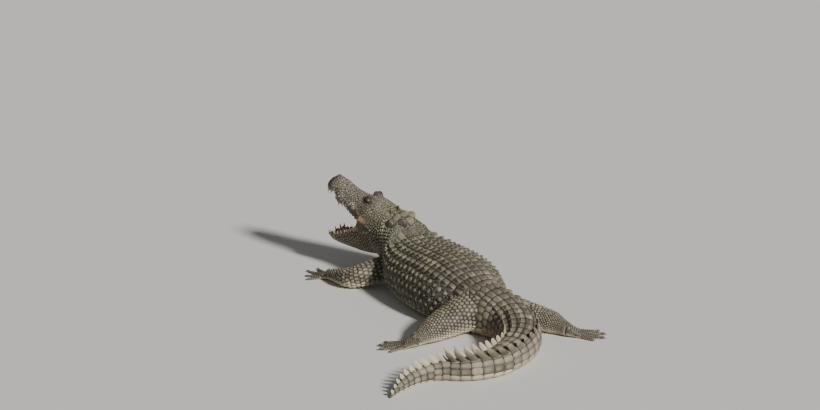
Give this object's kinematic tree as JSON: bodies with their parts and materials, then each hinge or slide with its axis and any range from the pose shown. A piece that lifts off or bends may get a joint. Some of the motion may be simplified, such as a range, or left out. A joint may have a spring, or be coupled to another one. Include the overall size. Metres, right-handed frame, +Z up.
{
  "type": "crocodile",
  "caption": "Life-size crocodile lying on its belly with its head raised, its jaws open and its tail curled round to its left.",
  "frame": {"origin": "on the floor under the middle of the trunk, half way along the spine from shoulders to hips", "axes": "+Z up; -Y towards the head; +X towards the animal's left"},
  "size_m": [1.6965, 2.2694, 0.6394],
  "materials": {
    "skin": "matt scaly hide",
    "mouth": "moist mouth lining",
    "horn": "satin horn",
    "eye": "wet, glossy"
  },
  "bodies": {
    "root": {"head": "skin", "lower_jaw": "skin", "neck": "skin", "trunk": "skin", "tail_1": "skin", "tail_2": "skin", "tail_3": "skin", "tail_4": "skin", "tail_5": "skin", "upper_arm_left": "skin", "upper_arm_right": "skin", "forearm_left": "skin", "forearm_right": "skin", "hand_left": "skin", "hand_right": "skin", "thigh_left": "skin", "thigh_right": "skin", "shank_left": "skin", "shank_right": "skin", "foot_left": "skin", "foot_right": "skin", "tongue": "mouth", "eye_left": "eye", "eye_right": "eye", "claw_hand_left_1": "horn", "claw_hand_left_2": "horn", "claw_hand_left_3": "horn", "claw_hand_right_1": "horn", "claw_hand_right_2": "horn", "claw_hand_right_3": "horn", "claw_foot_left_1": "horn", "claw_foot_left_2": "horn", "claw_foot_left_3": "horn", "claw_foot_right_1": "horn", "claw_foot_right_2": "horn", "claw_foot_right_3": "horn"}
  },
  "joints": []
}
